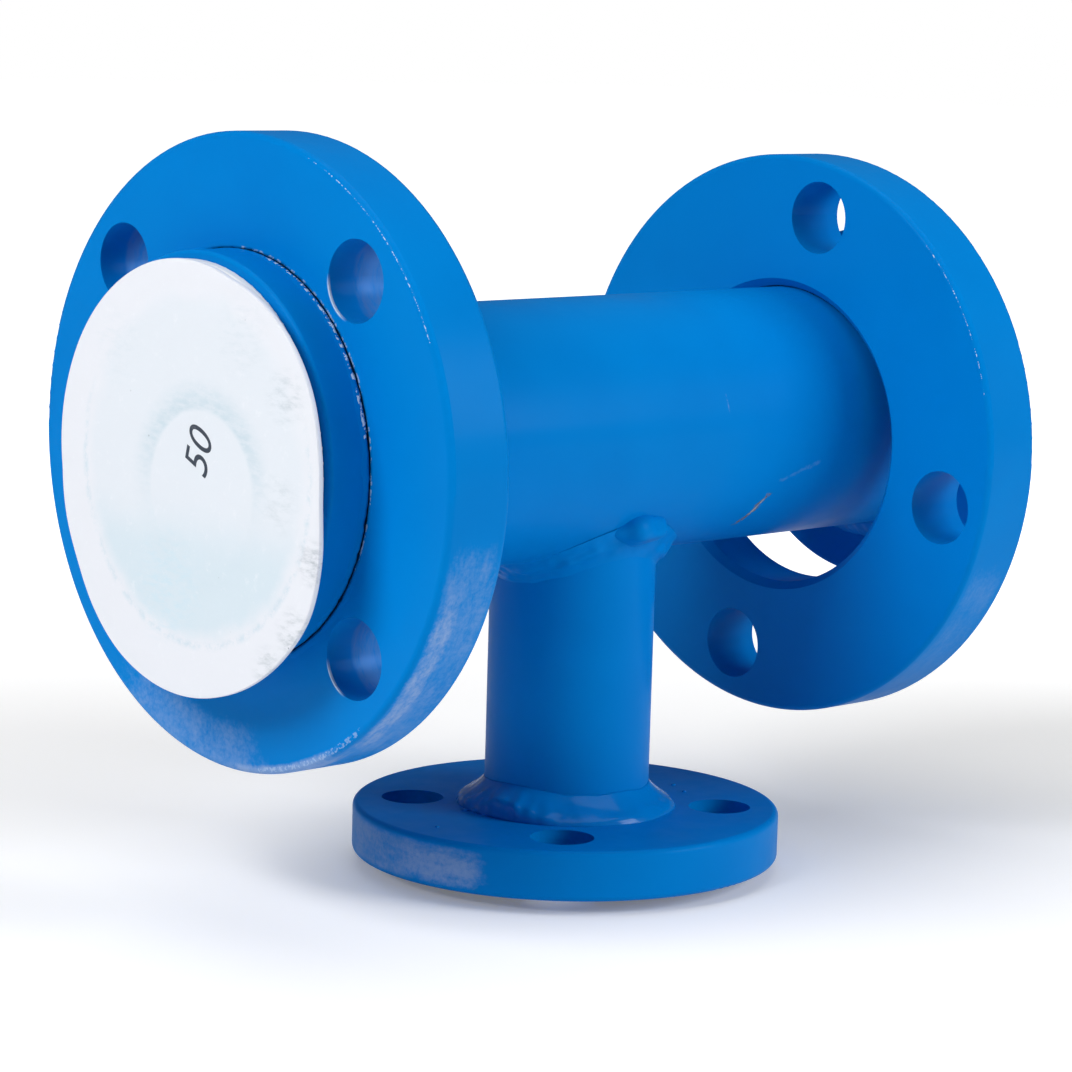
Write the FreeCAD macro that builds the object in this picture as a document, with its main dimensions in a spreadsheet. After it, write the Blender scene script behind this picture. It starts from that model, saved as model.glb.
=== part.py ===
import FreeCAD, Part
import math
import os
import Sketcher

# Lined reducing tee: a steel housing with two loose run flanges, a welded branch
# flange and a one-piece moulded lining that is flared over all three ends.
# +X runs along the run, the branch points down -Z, and the origin is where the
# run axis and the branch axis cross. All sizes are in millimetres or degrees.

doc = FreeCAD.newDocument("lined_reducing_tee")
sheet = doc.addObject("Spreadsheet::Sheet", "Sizes")

SIZES = {
    # Housing pipes
    "run_od": 66.0,
    "run_wall": 4.0,
    "branch_od": 42.4,
    "branch_wall": 3.6,
    # Centre of the tee to its sealing faces
    "run_reach": 125.0,
    "branch_reach": 114.0,
    # Lining
    "liner_wall": 3.9,
    "branch_liner_wall": 4.0,
    "liner_clearance": 0.1,
    "flare_thick": 3.5,
    "run_flare_set_back": 2.0,
    "branch_flare_width": 4.3,
    "flare_edge": 1.0,
    "mouth_round": 3.0,
    "crotch_round": 2.5,
    # Lap rings on the run ends, and their fillet welds: the ring overlaps the
    # flange round its bore, which gives an outside of 96
    "collar_overlap": 8.0,
    "collar_thick": 11.0,
    "collar_edge": 1.0,
    "collar_weld_leg": 4.5,
    # Loose run flanges: bore 80, bolt circle 120.7 and outside 150 follow from
    # the play round the pipe, the bolts' clearance off the ring and the rim
    "flange_thick": 18.0,
    "flange_play": 7.0,
    "flange_bore_chamfer": 2.0,
    "flange_edge": 1.5,
    "flange_bolt_gap": 2.85,
    "flange_rim": 14.65,
    "flange_hole": 19.0,
    "flange_bolts": 4.0,
    "running_gap": 0.3,
    "front_turn": -1.4,
    "rear_turn": -32.8,
    "rear_slide": 18.1,
    # Welded branch flange: bolt circle 79.4 and outside 110 follow from the
    # flare, the bolts' clearance off it and the rim
    "foot_thick": 12.7,
    "foot_edge": 1.5,
    "foot_bolt_gap": 6.2,
    "foot_rim": 15.3,
    "foot_hole": 16.0,
    "foot_bolts": 4.0,
    "foot_weld_leg": 6.0,
    # Play of a pipe in the ring or flange that is welded round it
    "slip_clearance": 0.1,
    # Saddle weld round the branch, and its start lump
    "saddle_leg": 6.5,
    "saddle_lump": 7.0,
    "saddle_lump_angle": -92.0,
    "saddle_lump_out": 1.6,
    # Protective disc on the front face, cut by hand and stuck on off centre
    "cover_overhang": 3.9,
    "cover_thick": 1.5,
    "cover_oval": 0.0227,
    "cover_oval_angle": 18.4,
    "cover_lobe": 0.0093,
    "cover_shift_y": -3.5,
    "cover_shift_z": -5.0,
}

for row, (alias, value) in enumerate(SIZES.items(), start=1):
    sheet.set("A%d" % row, alias)
    sheet.set("B%d" % row, "%g" % value)
    sheet.setAlias("B%d" % row, alias)
doc.recompute()

FULL_TURN = 360.0
ON_AXIS = 1e-4
X_AXIS = FreeCAD.Vector(1, 0, 0)
Z_AXIS = FreeCAD.Vector(0, 0, 1)
ORIGIN = FreeCAD.Vector(0, 0, 0)
HALF_TURN = FreeCAD.Placement(ORIGIN, FreeCAD.Rotation(Z_AXIS, 180))

# Crowns of the fillet beads, as shares of the leg along the pipe and up the wall,
# and the foot bead's reach over its flange
COLLAR_BEAD_CROWN = ((0.4, 0.75), (0.75, 0.4))
FOOT_BEAD_CROWN = ((0.35, 0.8), (0.65, 0.35))
FOOT_BEAD_REACH = 1.25
COVER_STEP = 15
# The run form's seam lies this far off the lowest line, clear of the saddle's crown
SEAM_TURN = 15

# Places along the run, outwards from the tee's centre, and radii about its axis,
# as formulas on the sheet
COLLAR_FACE = "(Sizes.run_reach - Sizes.flare_thick)"
COLLAR_BACK = "(Sizes.run_reach - Sizes.flare_thick - Sizes.collar_thick)"
RUN_PIPE_BORE = "(Sizes.run_od / 2 - Sizes.run_wall)"
RUN_LINER_OUTER = "(Sizes.run_od / 2 - Sizes.run_wall - Sizes.liner_clearance)"
RUN_BORE = "(Sizes.run_od / 2 - Sizes.run_wall - Sizes.liner_clearance - Sizes.liner_wall)"
FLANGE_BORE = "(Sizes.run_od / 2 + Sizes.flange_play)"
COLLAR = "(Sizes.run_od / 2 + Sizes.flange_play + Sizes.collar_overlap)"
RUN_FLARE = "(%s - Sizes.run_flare_set_back)" % COLLAR
FLANGE_BOLTS = "(%s + Sizes.flange_bolt_gap + Sizes.flange_hole / 2)" % COLLAR
FLANGE = "(%s + Sizes.flange_rim)" % FLANGE_BOLTS

# Places down the branch, and radii about its axis
FOOT_FACE = "(Sizes.branch_reach - Sizes.flare_thick)"
FOOT_TOP = "(Sizes.branch_reach - Sizes.flare_thick - Sizes.foot_thick)"
BRANCH_PIPE_BORE = "(Sizes.branch_od / 2 - Sizes.branch_wall)"
BRANCH_LINER_OUTER = "(Sizes.branch_od / 2 - Sizes.branch_wall - Sizes.liner_clearance)"
BRANCH_BORE = (
    "(Sizes.branch_od / 2 - Sizes.branch_wall - Sizes.liner_clearance - Sizes.branch_liner_wall)"
)
BRANCH_FLARE = "(Sizes.branch_od / 2 + Sizes.branch_flare_width)"
FOOT_BOLTS = "(%s + Sizes.foot_bolt_gap + Sizes.foot_hole / 2)" % BRANCH_FLARE
FOOT = "(%s + Sizes.foot_rim)" % FOOT_BOLTS


def size(alias):
    """Value of one driving dimension."""
    return float(sheet.get(alias))


def new_body(label):
    """Empty body whose label names its file."""
    body = doc.addObject("PartDesign::Body", label)
    body.Label = label
    return body


def new_sketch(body, name, role):
    """Sketch on one of the body's own origin planes."""
    sketch = body.newObject("Sketcher::SketchObject", name)
    plane = next(item for item in body.Origin.OriginFeatures if item.Role == role)
    sketch.AttachmentSupport = [(plane, "")]
    sketch.MapMode = "FlatFace"
    return sketch


def outline(sketch, corners):
    """Closed outline through corners, each a pair of formulas from the origin."""
    count = len(corners)
    start = [
        FreeCAD.Vector(math.cos(2 * math.pi * i / count), math.sin(2 * math.pi * i / count), 0)
        for i in range(count)
    ]
    for i in range(count):
        sketch.addGeometry(Part.LineSegment(start[i], start[(i + 1) % count]), False)
    for i in range(count):
        sketch.addConstraint(Sketcher.Constraint("Coincident", i, 2, (i + 1) % count, 1))
    for i, (across, up) in enumerate(corners):
        for kind, place, formula in (
            ("DistanceX", start[i].x, across),
            ("DistanceY", start[i].y, up),
        ):
            number = sketch.addConstraint(Sketcher.Constraint(kind, -1, 1, i, 1, place))
            sketch.setExpression("Constraints[%d]" % number, formula)
    doc.recompute()


def circle(sketch, across, up, radius):
    """Circle whose centre and radius are formulas."""
    sketch.addGeometry(Part.Circle(FreeCAD.Vector(1, 1, 0), Z_AXIS, 1), False)
    number = sketch.addConstraint(Sketcher.Constraint("Radius", 0, 1.0))
    sketch.setExpression("Constraints[%d]" % number, radius)
    for kind, formula in (("DistanceX", across), ("DistanceY", up)):
        number = sketch.addConstraint(Sketcher.Constraint(kind, -1, 1, 0, 3, 1.0))
        sketch.setExpression("Constraints[%d]" % number, formula)
    doc.recompute()


def turned(body, kind, name, axis, corners):
    """Revolution or groove of an outline in the XZ plane about H_Axis or V_Axis."""
    sketch = new_sketch(body, name + "_outline", "XZ_Plane")
    outline(sketch, corners)
    feature = body.newObject("PartDesign::" + kind, name)
    feature.Profile = sketch
    feature.ReferenceAxis = (sketch, [axis])
    feature.Angle = FULL_TURN
    sketch.Visibility = False
    doc.recompute()
    return feature


def ring(inner, outer, low, high, along_run):
    """Corners of a ring's section, in the order across and up."""
    corners = [(low, inner), (high, inner), (high, outer), (low, outer)]
    if along_run:
        return corners
    return [(radius, place) for place, radius in corners]


def circles(shape, axis):
    """Names and radii of the circular edges centred on an axis through the origin."""
    found = []
    for number, edge in enumerate(shape.Edges, start=1):
        if not isinstance(edge.Curve, Part.Circle):
            continue
        centre = edge.Curve.Center
        if (centre - axis * centre.dot(axis)).Length < ON_AXIS:
            found.append(("Edge%d" % number, edge.Curve.Radius, centre.dot(axis)))
    return found


def at_radius(shape, axis, pick):
    """Names of the circular edges about the axis whose radius is the least or the most."""
    found = circles(shape, axis)
    wanted = pick(radius for _, radius, _ in found)
    return [name for name, radius, _ in found if abs(radius - wanted) < ON_AXIS]


def dress(body, kind, name, edges, formula):
    """Fillet or chamfer on named edges of the body's tip."""
    if not edges:
        raise RuntimeError("no edges for " + name)
    base = body.Tip
    feature = body.newObject("PartDesign::" + kind, name)
    feature.Base = (base, edges)
    feature.setExpression("Radius" if kind == "Fillet" else "Size", formula)
    doc.recompute()
    return feature


def bolt_holes(body, role, count, circle_radius, hole, turn):
    """Ring of through holes that straddle the centre lines, turned by an angle."""
    sketch = new_sketch(body, "bolt_hole_outline", role)
    angle = "(%s + 180 / %s)" % (turn, count)
    circle(
        sketch,
        "-%s * sin(%s)" % (circle_radius, angle),
        "%s * cos(%s)" % (circle_radius, angle),
        "%s / 2" % hole,
    )
    pocket = body.newObject("PartDesign::Pocket", "bolt_hole")
    pocket.Profile = sketch
    pocket.SideType = "Two sides"
    pocket.Type = "ThroughAll"
    pocket.Type2 = "ThroughAll"
    sketch.Visibility = False
    doc.recompute()
    pattern = body.newObject("PartDesign::PolarPattern", "bolt_circle")
    pattern.Originals = [pocket]
    pattern.Axis = (sketch, ["N_Axis"])
    pattern.Angle = FULL_TURN
    pattern.setExpression("Occurrences", count)
    body.Tip = pattern
    doc.recompute()


def run_pipe():
    """Straight housing pipe with rounded mouths and the opening for the branch."""
    body = new_body("run_pipe")
    turned(
        body, "Revolution", "tube", "H_Axis",
        ring(RUN_PIPE_BORE, "Sizes.run_od / 2", "-" + COLLAR_FACE, COLLAR_FACE, True),
    )
    dress(body, "Fillet", "mouths", at_radius(body.Tip.Shape, X_AXIS, min), "Sizes.mouth_round")
    sketch = new_sketch(body, "branch_opening_outline", "XY_Plane")
    circle(sketch, "0", "0", BRANCH_PIPE_BORE)
    pocket = body.newObject("PartDesign::Pocket", "branch_opening")
    pocket.Profile = sketch
    pocket.SideType = "One side"
    pocket.Type = "ThroughAll"
    pocket.Reversed = False
    doc.recompute()
    return body


def branch_pipe():
    """Branch pipe, coped at the top to sit on the run pipe."""
    body = new_body("branch_pipe")
    turned(
        body, "Revolution", "tube", "V_Axis",
        ring(BRANCH_PIPE_BORE, "Sizes.branch_od / 2", "-" + FOOT_FACE, "0", False),
    )
    lowest = min(place for _, _, place in circles(body.Tip.Shape, Z_AXIS))
    inner = at_radius(body.Tip.Shape, Z_AXIS, min)
    mouth = [
        name
        for name, _, place in circles(body.Tip.Shape, Z_AXIS)
        if name in inner and abs(place - lowest) < ON_AXIS
    ]
    dress(body, "Fillet", "mouth", mouth, "Sizes.mouth_round")
    turned(
        body, "Groove", "cope", "H_Axis",
        [
            ("-Sizes.branch_od", "0"),
            ("Sizes.branch_od", "0"),
            ("Sizes.branch_od", "Sizes.run_od / 2"),
            ("-Sizes.branch_od", "Sizes.run_od / 2"),
        ],
    )
    return body


def liner():
    """One-piece lining: run and branch tubes, and a flare at each end."""
    body = new_body("liner")
    turned(
        body, "Revolution", "run_outside", "H_Axis",
        [
            ("-Sizes.run_reach", "0"),
            ("-Sizes.run_reach", RUN_FLARE),
            ("-" + COLLAR_FACE, RUN_FLARE),
            ("-" + COLLAR_FACE, RUN_LINER_OUTER),
            (COLLAR_FACE, RUN_LINER_OUTER),
            (COLLAR_FACE, RUN_FLARE),
            ("Sizes.run_reach", RUN_FLARE),
            ("Sizes.run_reach", "0"),
        ],
    )
    turned(
        body, "Revolution", "branch_outside", "V_Axis",
        [
            ("0", "0"),
            (BRANCH_LINER_OUTER, "0"),
            (BRANCH_LINER_OUTER, "-" + FOOT_FACE),
            (BRANCH_FLARE, "-" + FOOT_FACE),
            (BRANCH_FLARE, "-Sizes.branch_reach"),
            ("0", "-Sizes.branch_reach"),
        ],
    )
    dress(
        body, "Fillet", "flare_bends",
        at_radius(body.Tip.Shape, X_AXIS, min) + at_radius(body.Tip.Shape, Z_AXIS, min),
        "Sizes.mouth_round + Sizes.liner_clearance",
    )
    dress(
        body, "Fillet", "flare_edges",
        at_radius(body.Tip.Shape, X_AXIS, max) + at_radius(body.Tip.Shape, Z_AXIS, max),
        "Sizes.flare_edge",
    )
    turned(
        body, "Groove", "run_bore", "H_Axis",
        [
            ("-Sizes.run_reach * 2", "0"),
            ("Sizes.run_reach * 2", "0"),
            ("Sizes.run_reach * 2", RUN_BORE),
            ("-Sizes.run_reach * 2", RUN_BORE),
        ],
    )
    turned(
        body, "Groove", "branch_bore", "V_Axis",
        [
            ("0", "0"),
            (BRANCH_BORE, "0"),
            (BRANCH_BORE, "-Sizes.branch_reach * 2"),
            ("0", "-Sizes.branch_reach * 2"),
        ],
    )
    crotch = [
        "Edge%d" % number
        for number, edge in enumerate(body.Tip.Shape.Edges, start=1)
        if not isinstance(edge.Curve, (Part.Circle, Part.Line))
        and edge.BoundBox.DiagonalLength < 2 * size("branch_od")
        and inside_bore(edge)
    ]
    dress(body, "Fillet", "crotch", crotch, "Sizes.crotch_round")
    return body


def inside_bore(edge):
    """True for an edge of the lining that lies nearer the run axis than the pipe's wall."""
    middle = edge.valueAt((edge.FirstParameter + edge.LastParameter) / 2)
    thick = size("liner_wall") / 2
    wall = size("run_od") / 2 - size("run_wall") - size("liner_clearance")
    return math.hypot(middle.y, middle.z) < wall - thick


def collar(label, placement):
    """Lap ring on a run end: the loose flange bears on its back."""
    body = new_body(label)
    turned(
        body, "Revolution", "collar_ring", "H_Axis",
        ring("Sizes.run_od / 2 + Sizes.slip_clearance", COLLAR, COLLAR_BACK, COLLAR_FACE, True),
    )
    dress(
        body, "Fillet", "collar_corners", at_radius(body.Tip.Shape, X_AXIS, max),
        "Sizes.collar_edge",
    )
    body.Placement = placement
    return body


def collar_weld(label, placement):
    """Fillet weld between the run pipe and the back of a lap ring."""
    body = new_body(label)
    turned(
        body, "Revolution", "bead", "H_Axis",
        [
            (COLLAR_BACK, "Sizes.run_od / 2"),
            (COLLAR_BACK, "Sizes.run_od / 2 + Sizes.collar_weld_leg"),
            *(
                (
                    "%s - Sizes.collar_weld_leg * %g" % (COLLAR_BACK, along),
                    "Sizes.run_od / 2 + Sizes.collar_weld_leg * %g" % up,
                )
                for along, up in COLLAR_BEAD_CROWN
            ),
            (COLLAR_BACK + " - Sizes.collar_weld_leg", "Sizes.run_od / 2"),
        ],
    )
    body.Placement = placement
    return body


def loose_flange(label, turn, centre_x, centre_z):
    """Rotating flange, modelled about its own centre and put at its place."""
    body = new_body(label)
    turned(
        body, "Revolution", "plate", "H_Axis",
        ring(FLANGE_BORE, FLANGE, "-Sizes.flange_thick / 2", "Sizes.flange_thick / 2", True),
    )
    dress(
        body, "Fillet", "rim_edges", at_radius(body.Tip.Shape, X_AXIS, max),
        "Sizes.flange_edge",
    )
    dress(
        body, "Chamfer", "bore_chamfers", at_radius(body.Tip.Shape, X_AXIS, min),
        "Sizes.flange_bore_chamfer",
    )
    bolt_holes(
        body, "YZ_Plane", "Sizes.flange_bolts", FLANGE_BOLTS, "Sizes.flange_hole",
        "Sizes." + turn,
    )
    body.setExpression("Placement.Base.x", centre_x)
    body.setExpression("Placement.Base.z", centre_z)
    doc.recompute()
    return body


def branch_flange():
    """Slip-on flange welded to the foot of the branch."""
    body = new_body("branch_flange")
    turned(
        body, "Revolution", "plate", "V_Axis",
        ring("Sizes.branch_od / 2 + Sizes.slip_clearance", FOOT,
             "-" + FOOT_FACE, "-" + FOOT_TOP, False),
    )
    dress(
        body, "Fillet", "rim_edges", at_radius(body.Tip.Shape, Z_AXIS, max),
        "Sizes.foot_edge",
    )
    bolt_holes(body, "XY_Plane", "Sizes.foot_bolts", FOOT_BOLTS, "Sizes.foot_hole", "0")
    return body


def branch_flange_weld():
    """Fillet weld between the branch pipe and the top of its flange."""
    body = new_body("branch_flange_weld")
    turned(
        body, "Revolution", "bead", "V_Axis",
        [
            ("Sizes.branch_od / 2", "-" + FOOT_TOP),
            (
                "Sizes.branch_od / 2 + Sizes.foot_weld_leg * %g" % FOOT_BEAD_REACH,
                "-" + FOOT_TOP,
            ),
            *(
                (
                    "Sizes.branch_od / 2 + Sizes.foot_weld_leg * %g" % out,
                    "-%s + Sizes.foot_weld_leg * %g" % (FOOT_TOP, along),
                )
                for along, out in FOOT_BEAD_CROWN
            ),
            ("Sizes.branch_od / 2", "-" + FOOT_TOP + " + Sizes.foot_weld_leg"),
        ],
    )
    return body


def bound_cylinder(name, radius, height, rotation):
    """Cylinder from the tee's centre whose radius and height are formulas."""
    item = doc.addObject("Part::Cylinder", name)
    item.setExpression("Radius", radius)
    item.setExpression("Height", height)
    item.Placement = FreeCAD.Placement(ORIGIN, rotation)
    return item


def saddle_weld():
    """Bead in the corner between the run pipe and the branch, with its start lump."""
    along_run = FreeCAD.Rotation(Z_AXIS, X_AXIS) * FreeCAD.Rotation(Z_AXIS, SEAM_TURN)
    run = bound_cylinder("run_form", "Sizes.run_od / 2", "Sizes.run_od * 2", along_run)
    run.setExpression("Placement.Base.x", "-Sizes.run_od")
    branch = bound_cylinder(
        "branch_form", "Sizes.branch_od / 2", "Sizes.run_od", FreeCAD.Rotation(Z_AXIS, -Z_AXIS),
    )
    corner = doc.addObject("Part::Fuse", "corner_form")
    corner.Base = run
    corner.Tool = branch
    doc.recompute()
    wanted = []
    for number, edge in enumerate(corner.Shape.Edges, start=1):
        if isinstance(edge.Curve, (Part.Circle, Part.Line)):
            continue
        wanted.append((number, size("saddle_leg"), size("saddle_leg")))
    dressed = doc.addObject("Part::Chamfer", "dressed_corner")
    dressed.Base = corner
    dressed.Edges = wanted
    doc.recompute()
    lump = doc.addObject("Part::Sphere", "start_lump")
    lump.setExpression("Radius", "Sizes.saddle_lump")
    across = "(Sizes.branch_od / 2 + Sizes.saddle_lump_out)"
    lump.setExpression("Placement.Base.x", across + " * cos(Sizes.saddle_lump_angle)")
    lump.setExpression("Placement.Base.y", across + " * sin(Sizes.saddle_lump_angle)")
    lump.setExpression(
        "Placement.Base.z",
        "-sqrt((Sizes.run_od / 2) ^ 2 - (Sizes.branch_od / 2 * sin(Sizes.saddle_lump_angle)) ^ 2)",
    )
    built_up = doc.addObject("Part::Fuse", "built_up_corner")
    built_up.Base = dressed
    built_up.Tool = lump
    weld = doc.addObject("Part::Cut", "saddle_weld")
    weld.Label = "saddle_weld"
    weld.Base = built_up
    weld.Tool = corner
    doc.recompute()
    return weld


def front_cover():
    """Thin disc with a hand-cut, slightly oval outline on the front sealing face."""
    flare = (
        size("run_od") / 2 + size("flange_play") + size("collar_overlap")
        - size("run_flare_set_back")
    )
    points = []
    for degrees in range(0, int(FULL_TURN), COVER_STEP):
        angle = math.radians(degrees)
        radius = (flare + size("cover_overhang")) * (
            1
            + size("cover_oval") * math.cos(2 * angle - math.radians(2 * size("cover_oval_angle")))
            + size("cover_lobe") * math.cos(3 * angle)
        )
        points.append(FreeCAD.Vector(
            -size("run_reach"),
            size("cover_shift_y") - radius * math.sin(angle),
            size("cover_shift_z") + radius * math.cos(angle),
        ))
    curve = Part.BSplineCurve()
    curve.interpolate(Points=points, PeriodicFlag=True)
    face = Part.Face(Part.Wire([curve.toShape()]))
    item = doc.addObject("Part::Feature", "front_cover")
    item.Label = "front_cover"
    item.Shape = face.extrude(-X_AXIS * size("cover_thick"))
    return item


def write_parts(items):
    """Check every object, then write each sub-part to its own file."""
    for item in doc.Objects:
        if "Invalid" in item.State or "Error" in item.State:
            raise RuntimeError("failed: " + item.Name)
    for item in items:
        if item.Shape.isNull() or not item.Shape.isValid() or not item.Shape.Solids:
            raise RuntimeError("bad shape: " + item.Label)
    os.makedirs("parts", exist_ok=True)
    for item in items:
        item.Shape.exportStep("parts/%s.step" % item.Label)
        print(item.Label, round(item.Shape.Volume, 1), len(item.Shape.Solids))


def main():
    bearing = COLLAR_BACK + " - Sizes.running_gap - Sizes.flange_thick / 2"
    hang = "-(Sizes.flange_play - Sizes.running_gap)"
    items = [
        run_pipe(),
        branch_pipe(),
        saddle_weld(),
        collar("front_collar", HALF_TURN),
        collar("rear_collar", FreeCAD.Placement()),
        collar_weld("front_collar_weld", HALF_TURN),
        collar_weld("rear_collar_weld", FreeCAD.Placement()),
        loose_flange("front_flange", "front_turn", "-(%s)" % bearing, "0"),
        loose_flange("rear_flange", "rear_turn", bearing + " - Sizes.rear_slide", hang),
        branch_flange(),
        branch_flange_weld(),
        liner(),
        front_cover(),
    ]
    doc.recompute()
    write_parts(items)


main()
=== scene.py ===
"""A lined reducing tee: blue enamelled steel pipes and flanges, white liner, plastic flange cover."""

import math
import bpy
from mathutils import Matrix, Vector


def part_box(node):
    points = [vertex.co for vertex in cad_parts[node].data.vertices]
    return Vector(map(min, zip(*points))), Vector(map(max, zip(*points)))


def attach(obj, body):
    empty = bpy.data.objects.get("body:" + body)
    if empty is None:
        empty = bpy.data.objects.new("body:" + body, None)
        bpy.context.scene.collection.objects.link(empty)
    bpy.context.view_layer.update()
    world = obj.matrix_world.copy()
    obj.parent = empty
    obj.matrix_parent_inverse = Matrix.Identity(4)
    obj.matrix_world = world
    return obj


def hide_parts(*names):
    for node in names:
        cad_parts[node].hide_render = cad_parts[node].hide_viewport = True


bl_info = {
    "name": "Lined reducing tee",
    "version": (1, 0, 0),
    "blender": (4, 5, 0),
    "location": "3D View > Sidebar > Tee",
    "description": "Weld beads, torn paint, flange cover, enamel and stage for a lined reducing tee",
    "category": "Object",
}

import bpy
from bpy.props import FloatProperty, FloatVectorProperty, PointerProperty, StringProperty
from mathutils import Euler, Vector, noise

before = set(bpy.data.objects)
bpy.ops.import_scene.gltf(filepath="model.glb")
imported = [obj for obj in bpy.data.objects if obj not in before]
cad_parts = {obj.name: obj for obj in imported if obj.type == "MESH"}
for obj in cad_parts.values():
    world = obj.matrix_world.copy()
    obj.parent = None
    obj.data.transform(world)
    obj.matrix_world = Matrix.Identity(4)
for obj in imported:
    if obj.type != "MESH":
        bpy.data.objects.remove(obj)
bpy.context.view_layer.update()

MM = 0.001

# Share of a bead's section that is its open face.
FACE_SHARE = 0.7
# How deep the backs of beads and of paint skins are sunk into the steel.
BEAD_SINK = 0.2 * MM
SKIN_SINK = 0.06 * MM
# How far a scratch shows above and below the line that it follows.
SCRATCH_REACH = 8 * MM

FITTING = "fitting"
FRONT_FLANGE = "front_flange_body"

RUN_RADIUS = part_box("run_pipe")[1].y
BRANCH_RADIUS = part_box("branch_pipe")[1].x
FOOT_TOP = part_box("branch_flange")[1].z
FOOT_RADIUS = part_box("branch_flange")[1].x
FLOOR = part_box("liner")[0].z
COLLAR_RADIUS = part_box("front_collar")[1].y
COLLAR_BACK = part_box("front_collar")[1].x
FLANGE_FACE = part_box("front_flange")[0].x
FLANGE_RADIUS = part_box("front_flange")[1].y
REAR_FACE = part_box("rear_flange")[0].x
REAR_DROP = (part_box("rear_flange")[0].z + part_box("rear_flange")[1].z) / 2
COVER_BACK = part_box("front_cover")[1].x
LINER_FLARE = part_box("liner")[1].y

# Centres, across and up in millimetres, of the marks pressed into the cover by bore and flare.
BORE_MARK = (-7.6, -6.4)
FLARE_MARK = (-5, -1)
# Centre of the hand-cut cover and its radii in millimetres, every 15 degrees from +Y to +Z.
COVER_CENTRE = (-2, -5)
COVER_RADII = (
    47.6, 47.1, 46.3, 46.6, 47.9, 48.7, 49.4, 50.1, 50.7, 50.9, 50.3, 48.7,
    47.7, 49.5, 50.9, 50.5, 50.1, 49.9, 50.0, 50.0, 49.8, 48.8, 47.6, 47.8,
)
# Lower corner of the printed number, along its reading direction and up from it, and the
# degrees by which that direction leans off the vertical.
NUMBER_START = (-1.0, -10.3)
NUMBER_LEAN = 13.5

# Radius of a run flange's bolt circle and of its holes, and the turn of the front one's holes.
BOLT_CIRCLE = 60.35
BOLT_HOLE = 9.5
HOLE_TURN = 43.6

# The photograph's camera: place in metres, heading, tilt and roll in degrees, lens in millimetres.
CAMERA_PLACE = (-0.624836, -0.645498, 0.107640)
CAMERA_HEADING = -45.12
CAMERA_TILT = 8.856
CAMERA_ROLL = 1.870
CAMERA_LENS = 119.3
CAMERA_SHIFT = (-0.09486, 0.01646)


def from_hex(code):
    """Turns an sRGB hex colour into linear red, green and blue."""
    channels = [int(code[i : i + 2], 16) / 255 for i in (1, 3, 5)]
    return [c / 12.92 if c <= 0.04045 else ((c + 0.055) / 1.055) ** 2.4 for c in channels]


def opaque(colour):
    """Adds the alpha that a colour socket wants."""
    return (*colour, 1.0)


class PaintSettings(bpy.types.PropertyGroup):
    enamel: FloatVectorProperty(
        name="Enamel",
        description="Sprayed blue enamel on the steel",
        subtype="COLOR",
        default=from_hex("#007ECF"),
    )
    enamel_deep: FloatVectorProperty(
        name="Enamel in the hollows",
        description="The same enamel where it lies thicker",
        subtype="COLOR",
        default=from_hex("#006CBE"),
    )
    # Also the colour of the painted sheen on the lower left of the front flange's face.
    scuff_and_sheen: FloatVectorProperty(
        name="Scuff",
        description="Enamel rubbed dull and pale on the rims",
        subtype="COLOR",
        default=from_hex("#8FA9D4"),
    )
    # Also the colour of the painted highlights on the edges of the bolt holes.
    chip_and_highlight: FloatVectorProperty(
        name="Chip",
        description="Bright spots where the enamel has left an edge",
        subtype="COLOR",
        default=from_hex("#CFE2F2"),
    )
    rust: FloatVectorProperty(
        name="Rust",
        description="Brown in the deep scratch on the run pipe",
        subtype="COLOR",
        default=from_hex("#7A6A50"),
    )


class WeldSettings(bpy.types.PropertyGroup):
    saddle_leg: FloatProperty(
        name="Saddle bead leg",
        description="Leg of the bead between run pipe and branch pipe",
        unit="LENGTH",
        default=5.3 * MM,
    )
    foot_leg: FloatProperty(
        name="Foot bead leg",
        description="Leg of the bead between branch pipe and branch flange",
        unit="LENGTH",
        default=6.6 * MM,
    )
    collar_leg: FloatProperty(
        name="Collar bead leg",
        description="Leg of the bead behind each collar",
        unit="LENGTH",
        default=4.3 * MM,
    )
    ripple: FloatProperty(
        name="Ripple pitch",
        description="Length of one ripple along a bead",
        unit="LENGTH",
        default=3.4 * MM,
    )


class CoverSettings(bpy.types.PropertyGroup):
    thickness: FloatProperty(
        name="Cover thickness",
        description="Thickness of the plastic flange cover",
        unit="LENGTH",
        default=1.5 * MM,
    )
    number: StringProperty(
        name="Size number",
        description="Nominal size printed on the cover",
        default="50",
    )
    number_height: FloatProperty(
        name="Number height",
        description="Height of the printed figures",
        unit="LENGTH",
        default=8.7 * MM,
    )
    number_width: FloatProperty(
        name="Number width",
        description="Width of the printed figures together",
        unit="LENGTH",
        default=10.8 * MM,
    )
    plastic: FloatVectorProperty(
        name="Cover plastic",
        description="Off-white polyethylene sheet",
        subtype="COLOR",
        default=from_hex("#E8EBF2"),
    )
    # A bluer tone, laid inside the flare's circle and strongest towards the bottom.
    plastic_bluer: FloatVectorProperty(
        name="Cover plastic over the flare",
        description="The same sheet where it lies on the liner, a little bluer",
        subtype="COLOR",
        default=from_hex("#D6E4ED"),
    )
    ink: FloatVectorProperty(
        name="Ink",
        description="Slate ink of the printed number",
        subtype="COLOR",
        default=from_hex("#333D4C"),
    )


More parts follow.
